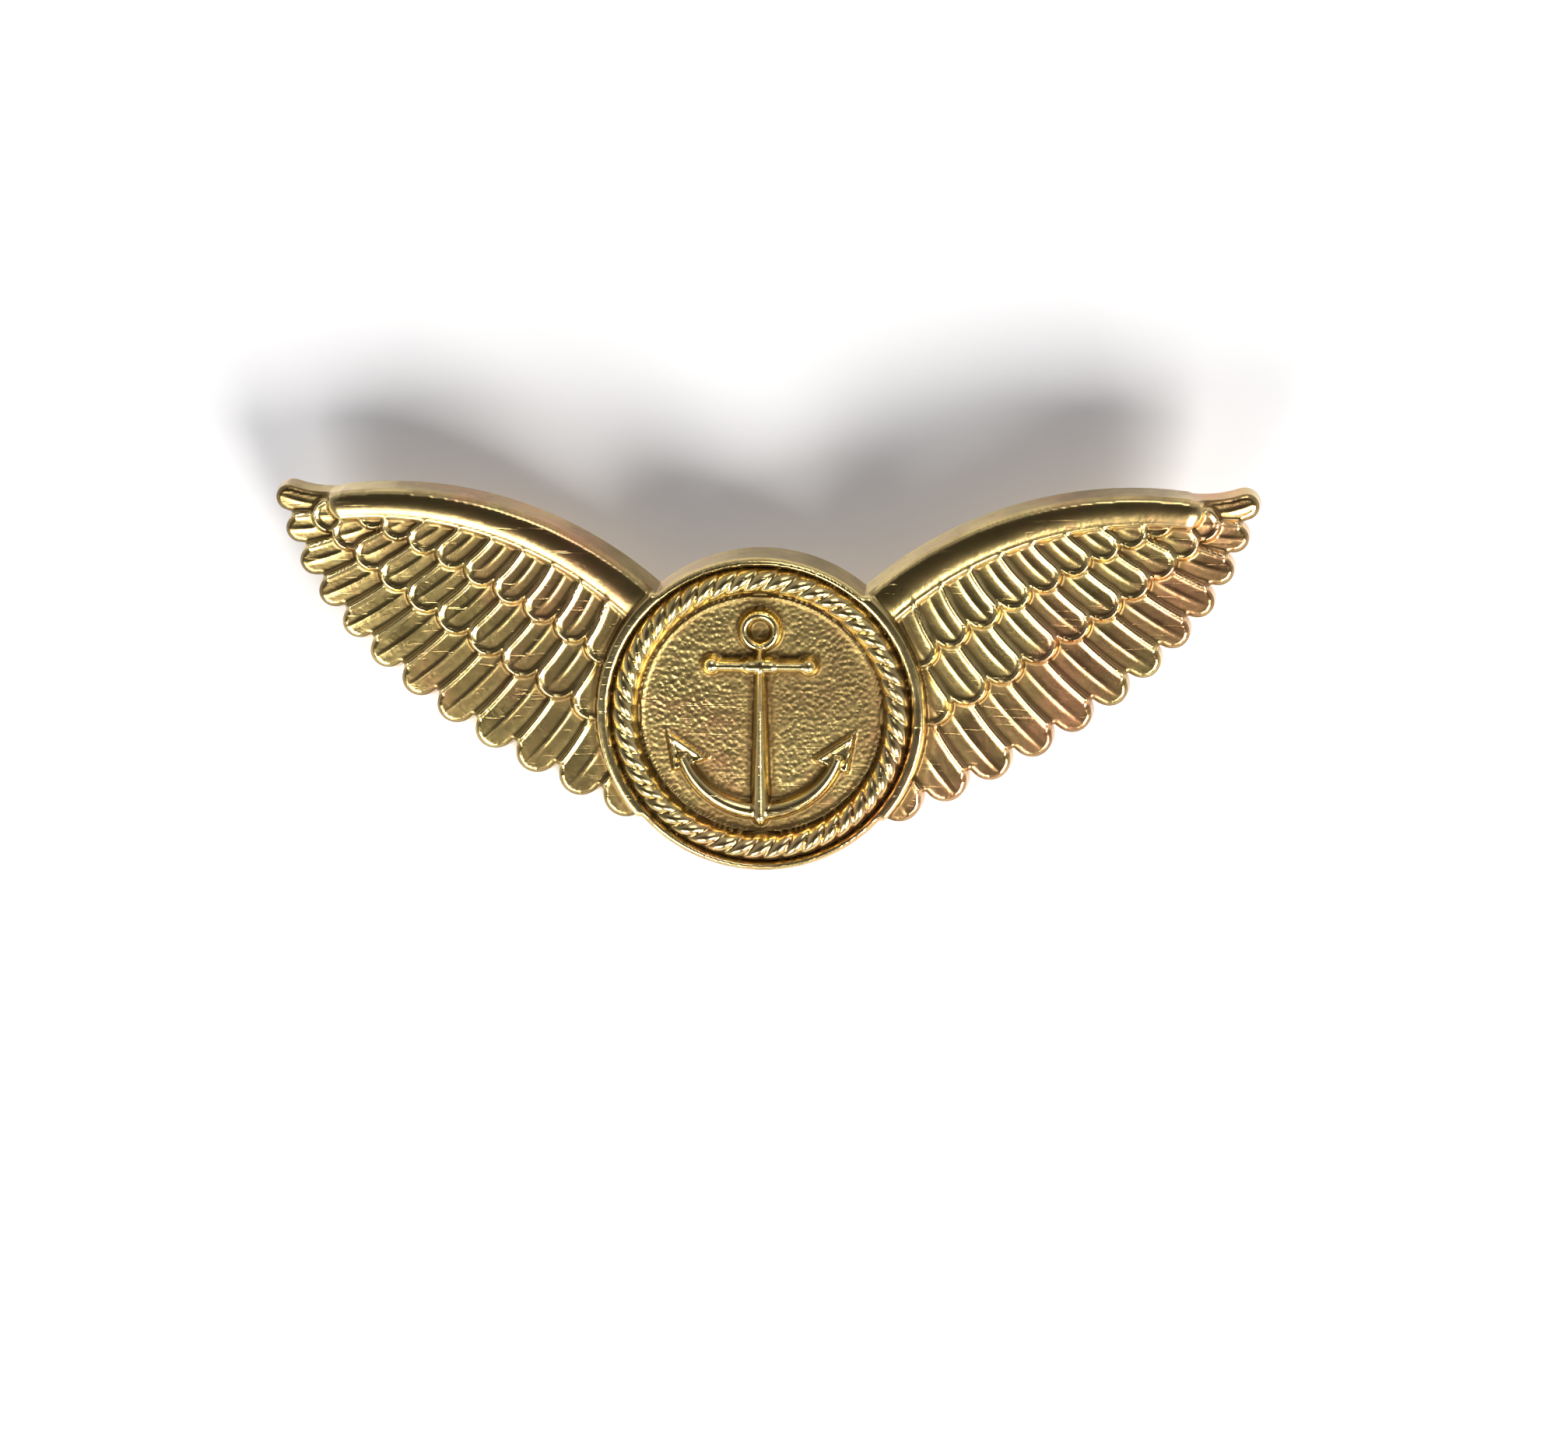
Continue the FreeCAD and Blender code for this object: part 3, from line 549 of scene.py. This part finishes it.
def nodes_of(name):
    """New material with its node tree, its shader and a helper that adds and wires nodes."""
    material = bpy.data.materials.new(name)
    material.use_nodes = True
    tree = material.node_tree
    shader = tree.nodes["Principled BSDF"]

    def add(kind, inputs=(), **settings):
        """Adds a node; inputs pairs a socket with a value or with another node's socket."""
        node = tree.nodes.new(kind)
        for key, value in settings.items():
            setattr(node, key, value)
        for socket, value in inputs:
            if isinstance(value, bpy.types.NodeSocket):
                tree.links.new(value, node.inputs[socket])
            else:
                node.inputs[socket].default_value = value
        return node

    return material, tree, shader, add


MIX_A, MIX_B, MIX_RESULT = 6, 7, 2          # sockets of a mix node that carry colours


def blend(add, factor, first, second):
    """Colour between two by a factor; each may be a value or another node's socket."""
    return add("ShaderNodeMix", [("Factor", factor), (MIX_A, first), (MIX_B, second)],
               data_type="RGBA").outputs[MIX_RESULT]


def spread(add, value, low, high, to_low=0.0, to_high=1.0):
    """Value between low and high, carried over to another range and held inside it."""
    return add("ShaderNodeMapRange", [("Value", value), ("From Min", low), ("From Max", high),
                                      ("To Min", to_low), ("To Max", to_high)]).outputs["Result"]


def multiplied(add, first, second, plus=0.0):
    """Product of two values, plus a third."""
    return add("ShaderNodeMath", [(0, first), (1, second), (2, plus)],
               operation="MULTIPLY_ADD").outputs[0]


def noise(add, spot, scale, detail, roughness=0.5, shift=0.0):
    """Cloudy pattern; the scale is in patches to the metre, the shift gives another pattern."""
    inputs = [("Vector", spot), ("Scale", scale), ("Detail", detail), ("Roughness", roughness)]
    if shift:
        return add("ShaderNodeTexNoise", inputs + [("W", shift)], noise_dimensions="4D").outputs["Fac"]
    return add("ShaderNodeTexNoise", inputs).outputs["Fac"]


def bump(add, height, strength, metres, under=None, **settings):
    """Slight unevenness from a height, laid over another one."""
    below = [] if under is None else [("Normal", under)]
    return add("ShaderNodeBump", [("Height", height), ("Strength", strength),
                                  ("Distance", metres)] + below, **settings).outputs[0]


OLIVE_GOLD, BROWN_CLOUD, COPPER = (0.70, 0.535, 0.205, 1), (0.35, 0.24, 0.095, 1), (0.72, 0.31, 0.17, 1)
DEEP_BROWN, BRIGHT_GOLD = (0.16, 0.10, 0.035, 1), (0.92, 0.76, 0.36, 1)
SPECK_BROWN, BARE_BRASS = (0.22, 0.14, 0.06, 1), (0.52, 0.39, 0.19, 1)


def gilt_brass():
    """Worn gilding: olive gold with brown clouds, dark recesses, copper rubs, bright high spots.

    Each blend lays the next colour over the ones before; bare brass shows behind."""
    material, tree, shader, add = nodes_of("worn_gilt_brass")
    spot = add("ShaderNodeTexCoord").outputs["Object"]
    recess, rub, stipple, behind = (add("ShaderNodeAttribute", attribute_name=name).outputs["Fac"]
                                    for name in ("recess", "rub", "stipple", "behind"))
    clouds = noise(add, spot, 170.0, 5.0, 0.6)
    grain = noise(add, spot, 3200.0, 5.0)
    blotch = noise(add, spot, 95.0, 6.0, 0.65, 3.7)
    dirt = noise(add, spot, 900.0, 6.0, 0.7)
    copper_part = multiplied(add, spread(add, blotch, 0.50, 0.62), multiplied(add, rub, 0.4, 0.55))
    colour = blend(add, spread(add, clouds, 0.40, 0.62), OLIVE_GOLD, BROWN_CLOUD)
    colour = blend(add, copper_part, colour, COPPER)
    colour = blend(add, spread(add, recess, 0.05, 0.8, 0.0, 0.88), colour, DEEP_BROWN)
    colour = blend(add, multiplied(add, rub, 0.6), colour, BRIGHT_GOLD)
    colour = blend(add, spread(add, dirt, 0.58, 0.70, 0.0, 0.55), colour, SPECK_BROWN)
    colour = blend(add, multiplied(add, behind, 0.8), colour, BARE_BRASS)
    tree.links.new(colour, shader.inputs["Base Color"])
    rough = spread(add, clouds, 0.35, 0.7, 0.17, 0.28)
    for area, extra in ((recess, 0.22), (stipple, 0.08), (behind, 0.12)):
        rough = multiplied(add, area, extra, rough)
    tree.links.new(rough, shader.inputs["Roughness"])
    shader.inputs["Metallic"].default_value = 1.0
    slant = add("ShaderNodeMapping", [("Vector", spot), ("Rotation", (0.0, 0.6, 0.0)),
                                      ("Scale", (0.05, 1.0, 1.0))]).outputs[0]
    scratch = spread(add, noise(add, slant, 3800.0, 3.0), 0.64, 0.72)
    pips = add("ShaderNodeTexVoronoi", [("Vector", spot), ("Scale", 3500.0)],
               feature="SMOOTH_F1").outputs["Distance"]
    uneven = bump(add, scratch, 0.35, 0.00003, invert=True)
    uneven = bump(add, multiplied(add, pips, stipple), 0.5, 0.00010, uneven)
    uneven = bump(add, grain, 0.22, 0.00003, uneven)
    uneven = bump(add, clouds, 0.35, 0.0002, uneven)
    tree.links.new(uneven, shader.inputs["Normal"])
    return material


badge.data.materials.append(gilt_brass())
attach(badge, "badge")
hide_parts("badge_shell")

# ---- Soldered feet, bracket and catch housing ----------------------------------------------
# Two brass discs sit on the floor of the hollow.  One carries a folded bracket with two ears,
# the other a bent housing that is open along its rear.  All are stamped from sheet, so their
# cut edges are slightly rounded, and they are dull from the heat of soldering.

CAD_JOIN, CAD_FLAT = 0.001, 0.6             # mm between points that are one, degrees between faces
SHARP_EDGE = 33                             # degrees from which an edge is rounded


def softened(node, name, width, material):
    """Puts one closed copy in the place of a CAD piece, with its sharp edges rounded."""
    made = bpy.data.objects.new(name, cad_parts[node].data.copy())
    bpy.context.scene.collection.objects.link(made)
    cleaned(made, CAD_JOIN, CAD_JOIN, CAD_FLAT)
    made.data.materials.clear()
    made.data.materials.append(material)
    bevel = made.modifiers.new("rounded edges", "BEVEL")
    bevel.width, bevel.segments = width * MM, 3
    bevel.limit_method, bevel.angle_limit = "ANGLE", math.radians(SHARP_EDGE)
    bevel.harden_normals = True
    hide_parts(node)
    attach(made, body_of[node])


def metal(name, colour, dark, roughness, wear_scale, stretch=(1.0, 1.0, 1.0)):
    """Metal with cloudy darker areas, roughness that varies with them, and fine surface marks."""
    material, tree, shader, add = nodes_of(name)
    spot = add("ShaderNodeTexCoord").outputs["Object"]
    clouds = noise(add, spot, wear_scale, 5.0)
    drawn = add("ShaderNodeMapping", [("Vector", spot), ("Scale", stretch)]).outputs[0]
    marks = noise(add, drawn, 3500.0, 4.0)
    tint = blend(add, spread(add, clouds, 0.35, 0.68), (*colour, 1), (*dark, 1))
    tree.links.new(tint, shader.inputs["Base Color"])
    tree.links.new(spread(add, clouds, 0.3, 0.7, *roughness), shader.inputs["Roughness"])
    shader.inputs["Metallic"].default_value = 1.0
    uneven = bump(add, marks, 0.3, 0.00004)
    tree.links.new(bump(add, clouds, 0.3, 0.0001, uneven), shader.inputs["Normal"])
    return material


body_of = {node: "badge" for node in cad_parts}
body_of.update({"needle": "needle_arm", "catch_lock": "lock"})
dull_brass = metal("dull_sheet_brass", (0.60, 0.45, 0.20), (0.38, 0.27, 0.12), (0.34, 0.50), 420.0)
softened("hinge_pad", "soldered_disc_hinge", 0.07, dull_brass)
softened("catch_pad", "soldered_disc_catch", 0.07, dull_brass)
softened("hinge_bracket", "folded_bracket", 0.06, dull_brass)
softened("catch_housing", "bent_housing", 0.06, dull_brass)

# ---- Turning lock of the catch -------------------------------------------------------------
# A split brass sleeve with a flange and a thumb tab, turned on a lathe and milled.  Fingers
# keep it brighter than the pieces around it.

satin_brass = metal("satin_turned_brass", (0.78, 0.62, 0.30), (0.62, 0.46, 0.20), (0.22, 0.34), 520.0)
softened("catch_lock", "turned_lock", 0.05, satin_brass)

# ---- Needle and rivet ----------------------------------------------------------------------
# The needle is drawn steel wire, nickel plated, flattened at the neck and pierced at the eye.
# The steel rivet is set by hand, so its heads are a little uneven.

nickel = metal("nickel_plated_wire", (0.66, 0.64, 0.60), (0.57, 0.54, 0.50), (0.16, 0.24), 260.0,
               (0.03, 1.0, 1.0))
softened("needle", "drawn_needle", 0.05, nickel)
steel = metal("dark_steel", (0.48, 0.46, 0.44), (0.30, 0.27, 0.25), (0.28, 0.46), 900.0)
softened("hinge_rivet", "set_rivet", 0.04, steel)

# ---- Solder --------------------------------------------------------------------------------
# Soft solder has run round each disc and set as a hollow-sided ring, fuller in some places
# than in others, with a dull grey skin.


AROUND, DOWN_SLOPE = 144, 11                # points round a ring and down its slope
DISC_EDGE = 2.99                            # just inside the disc, so that no gap shows
SLOPE_BEND = 1.7                            # power that hollows the slope
FOOT_INSIDE, FOOT_SWELL = 0.02, 0.20        # from the outer radius, and how much it varies
TOP_LEAST, TOP_SWELL = 0.72, 0.27           # shares of the height, and how much it varies


def solder_ring(node, name, seed, material):
    """Ring of solder round a disc: a closed section with a hollow slope, carried round the disc.

    Its outer radius and its height vary with the angle as a sum of a few waves."""
    low, high = (np.array(corner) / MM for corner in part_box(node))
    centre = (low + high) / 2
    outer, rise = (high[0] - low[0]) / 2, high[1] - low[1]
    chance = np.random.default_rng(seed)
    turn = np.linspace(0, 2 * math.pi, AROUND, endpoint=False)[:, None]
    waves = np.arange(2, 9)
    swell = (np.cos(turn * waves + chance.uniform(0, 6.28, 7)) * chance.uniform(0.2, 1.0, 7)
             / waves).sum(axis=1)
    swell = ((swell - swell.min()) / (swell.max() - swell.min()))[:, None]
    foot = outer - FOOT_INSIDE - FOOT_SWELL * (1 - swell)
    top = rise * (TOP_LEAST + TOP_SWELL * swell)
    down = np.linspace(0, 1, DOWN_SLOPE)
    ends = np.ones((AROUND, 1))
    section_r = np.concatenate([DISC_EDGE + (foot - DISC_EDGE) * down, DISC_EDGE * ends], axis=1)
    section_y = np.concatenate([top * (1 - down) ** SLOPE_BEND, 0 * ends], axis=1)
    places = np.stack([centre[0] + section_r * np.cos(turn), low[1] + section_y,
                       centre[2] + section_r * np.sin(turn)], axis=2)
    section = DOWN_SLOPE + 1
    i, j = np.meshgrid(np.arange(AROUND), np.arange(section), indexing="ij")
    next_i, next_j = (i + 1) % AROUND * section, (j + 1) % section
    i = i * section
    faces = np.stack([i + j, next_i + j, next_i + next_j, i + next_j], axis=2)
    made = build_mesh(name, places.reshape(-1, 3), faces.reshape(-1, 4).tolist())
    cleaned(made)
    made.data.set_sharp_from_angle(angle=math.radians(40))
    made.data.materials.append(material)
    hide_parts(node)
    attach(made, "badge")


grey_solder = metal("grey_solder", (0.40, 0.40, 0.40), (0.27, 0.265, 0.26), (0.38, 0.55), 1100.0)
solder_ring("hinge_solder", "solder_ring_hinge", 11, grey_solder)
solder_ring("catch_solder", "solder_ring_catch", 12, grey_solder)

# ---- Stage, light and camera --------------------------------------------------------------
# The badge lies on white paper.  It rests on three points: the lower edge of the medallion,
# the hinge and the lock, so the paper leans back behind the wings.

PAPER_GAP, PAPER_HALF = 0.00005, 0.35       # metres
foot = np.array((0.0, 0.0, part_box("badge_shell")[0][2]))
rest_points = [foot]
for node in ("hinge_bracket", "catch_lock"):
    node_low, node_high = (np.array(corner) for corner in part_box(node))
    node_middle = (node_low + node_high) / 2
    rest_points.append(np.array((node_middle[0], node_high[1], node_middle[2])))
paper_normal = np.cross(rest_points[1] - foot, rest_points[2] - foot)
paper_normal /= np.linalg.norm(paper_normal)
paper_normal *= -np.sign(paper_normal[1])
paper_right = np.cross(paper_normal, (0, 0, 1.0))
paper_right /= -np.linalg.norm(paper_right)
paper_up = np.cross(paper_normal, paper_right)
if paper_up[2] < 0:
    paper_up = -paper_up
paper_centre = np.mean(rest_points, axis=0) - paper_normal * PAPER_GAP
u, w = np.meshgrid(*[np.linspace(-PAPER_HALF, PAPER_HALF, 3)] * 2)
sheet = paper_centre + u[..., None] * paper_right + w[..., None] * paper_up
paper = build_mesh("paper", sheet.reshape(-1, 3) / MM,
                   [[k, k + 1, k + 4, k + 3] for k in (0, 1, 3, 4)])
if np.dot(np.array(paper.data.polygons[0].normal), paper_normal) < 0:
    paper.data.flip_normals()
paper.visible_shadow = False
paper_material, tree, shader, add = nodes_of("white_paper")
shader.inputs["Base Color"].default_value = (0.94, 0.94, 0.945, 1)
shader.inputs["Roughness"].default_value = 0.9
clear = add("ShaderNodeBsdfTransparent")
seen_from = add("ShaderNodeNewGeometry")
mixed = add("ShaderNodeMixShader", [(0, seen_from.outputs["Backfacing"]), (1, shader.outputs[0]),
                                    (2, clear.outputs[0])])
tree.links.new(mixed.outputs[0], tree.nodes["Material Output"].inputs["Surface"])
paper.data.materials.append(paper_material)


def area_light(name, place, target, size, watts, colour=(1, 1, 1)):
    """Square soft light at a place, aimed at a target; lengths are in metres."""
    data = bpy.data.lights.new(name, "AREA")
    data.size, data.energy, data.color = size, watts, colour
    lamp = bpy.data.objects.new(name, data)
    bpy.context.scene.collection.objects.link(lamp)
    lamp.location = place
    aim = np.subtract(target, place)
    lamp.rotation_mode = "QUATERNION"
    lamp.rotation_quaternion = Vector(aim).to_track_quat("-Z", "Y")


middle = (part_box("badge_shell")[0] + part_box("badge_shell")[1]) / 2
area_light("key_right", (0.25, -0.35, -0.26), middle, 0.22, 3.1, (1.0, 0.98, 0.95))
area_light("key_left", (-0.18, -0.34, -0.31), middle, 0.24, 1.8, (1.0, 0.99, 0.97))
area_light("fill", (0.10, -0.30, 0.42), middle, 0.25, 0.6, (0.95, 0.96, 1.0))
area_light("behind", (-0.30, 0.45, 0.30), middle, 0.35, 4.0)

world = bpy.data.worlds.new("studio")
bpy.context.scene.world = world
world.use_nodes = True
sky = world.node_tree
surround = sky.nodes["Background"]
direction = sky.nodes.new("ShaderNodeTexCoord")
parts = sky.nodes.new("ShaderNodeSeparateXYZ")
sky.links.new(direction.outputs["Generated"], parts.inputs[0])
fade = sky.nodes.new("ShaderNodeValToRGB")
stops = fade.color_ramp.elements
stops[0].position, stops[0].color = 0.0, (0.035, 0.032, 0.030, 1)
stops[1].position, stops[1].color = 1.0, (0.75, 0.76, 0.80, 1)
for place, colour in ((0.10, (0.06, 0.057, 0.055, 1)), (0.28, (0.30, 0.30, 0.32, 1)),
                      (0.5, (0.50, 0.50, 0.555, 1))):
    stop = stops.new(place)
    stop.color = colour
half = sky.nodes.new("ShaderNodeMapRange")
half.inputs["From Min"].default_value, half.inputs["From Max"].default_value = -1.0, 1.0
sky.links.new(parts.outputs["Y"], half.inputs["Value"])
sky.links.new(half.outputs["Result"], fade.inputs[0])
sky.links.new(fade.outputs[0], surround.inputs["Color"])
pale = sky.nodes.new("ShaderNodeBackground")
pale.inputs["Color"].default_value = (0.80, 0.80, 0.81, 1)
eye = sky.nodes.new("ShaderNodeLightPath")
choice = sky.nodes.new("ShaderNodeMixShader")
sky.links.new(eye.outputs["Is Camera Ray"], choice.inputs[0])
sky.links.new(surround.outputs[0], choice.inputs[1])
sky.links.new(pale.outputs[0], choice.inputs[2])
sky.links.new(choice.outputs[0], sky.nodes["World Output"].inputs["Surface"])

AZIMUTH, ELEVATION = math.radians(4.0), math.radians(13.0)
LENS, SENSOR = 60.0, 36.0
VIEW_SPANS = 1.597                          # width of the view in spans of the badge
AIM_RIGHT, AIM_DOWN = 0.0145, 0.0243        # off the badge's middle, in widths of the view
back = np.array((math.sin(AZIMUTH) * math.cos(ELEVATION), -math.cos(AZIMUTH) * math.cos(ELEVATION),
                 math.sin(ELEVATION)))
view_width = HALF_SPAN * 2 * MM * VIEW_SPANS
right = np.array((math.cos(AZIMUTH), math.sin(AZIMUTH), 0.0))
up = np.cross(right, -back)
target = np.array(middle) + right * AIM_RIGHT * view_width - up * AIM_DOWN * view_width
camera_data = bpy.data.cameras.new("camera")
camera_data.lens, camera_data.sensor_width = LENS, SENSOR
camera_data.clip_start, camera_data.clip_end = 0.01, 10.0
camera = bpy.data.objects.new("camera", camera_data)
bpy.context.scene.collection.objects.link(camera)
camera.location = target + back * view_width * LENS / SENSOR
camera.rotation_mode = "QUATERNION"
camera.rotation_quaternion = Vector(-back).to_track_quat("-Z", "Y")
bpy.context.scene.camera = camera
bpy.context.scene.view_settings.view_transform = "Standard"
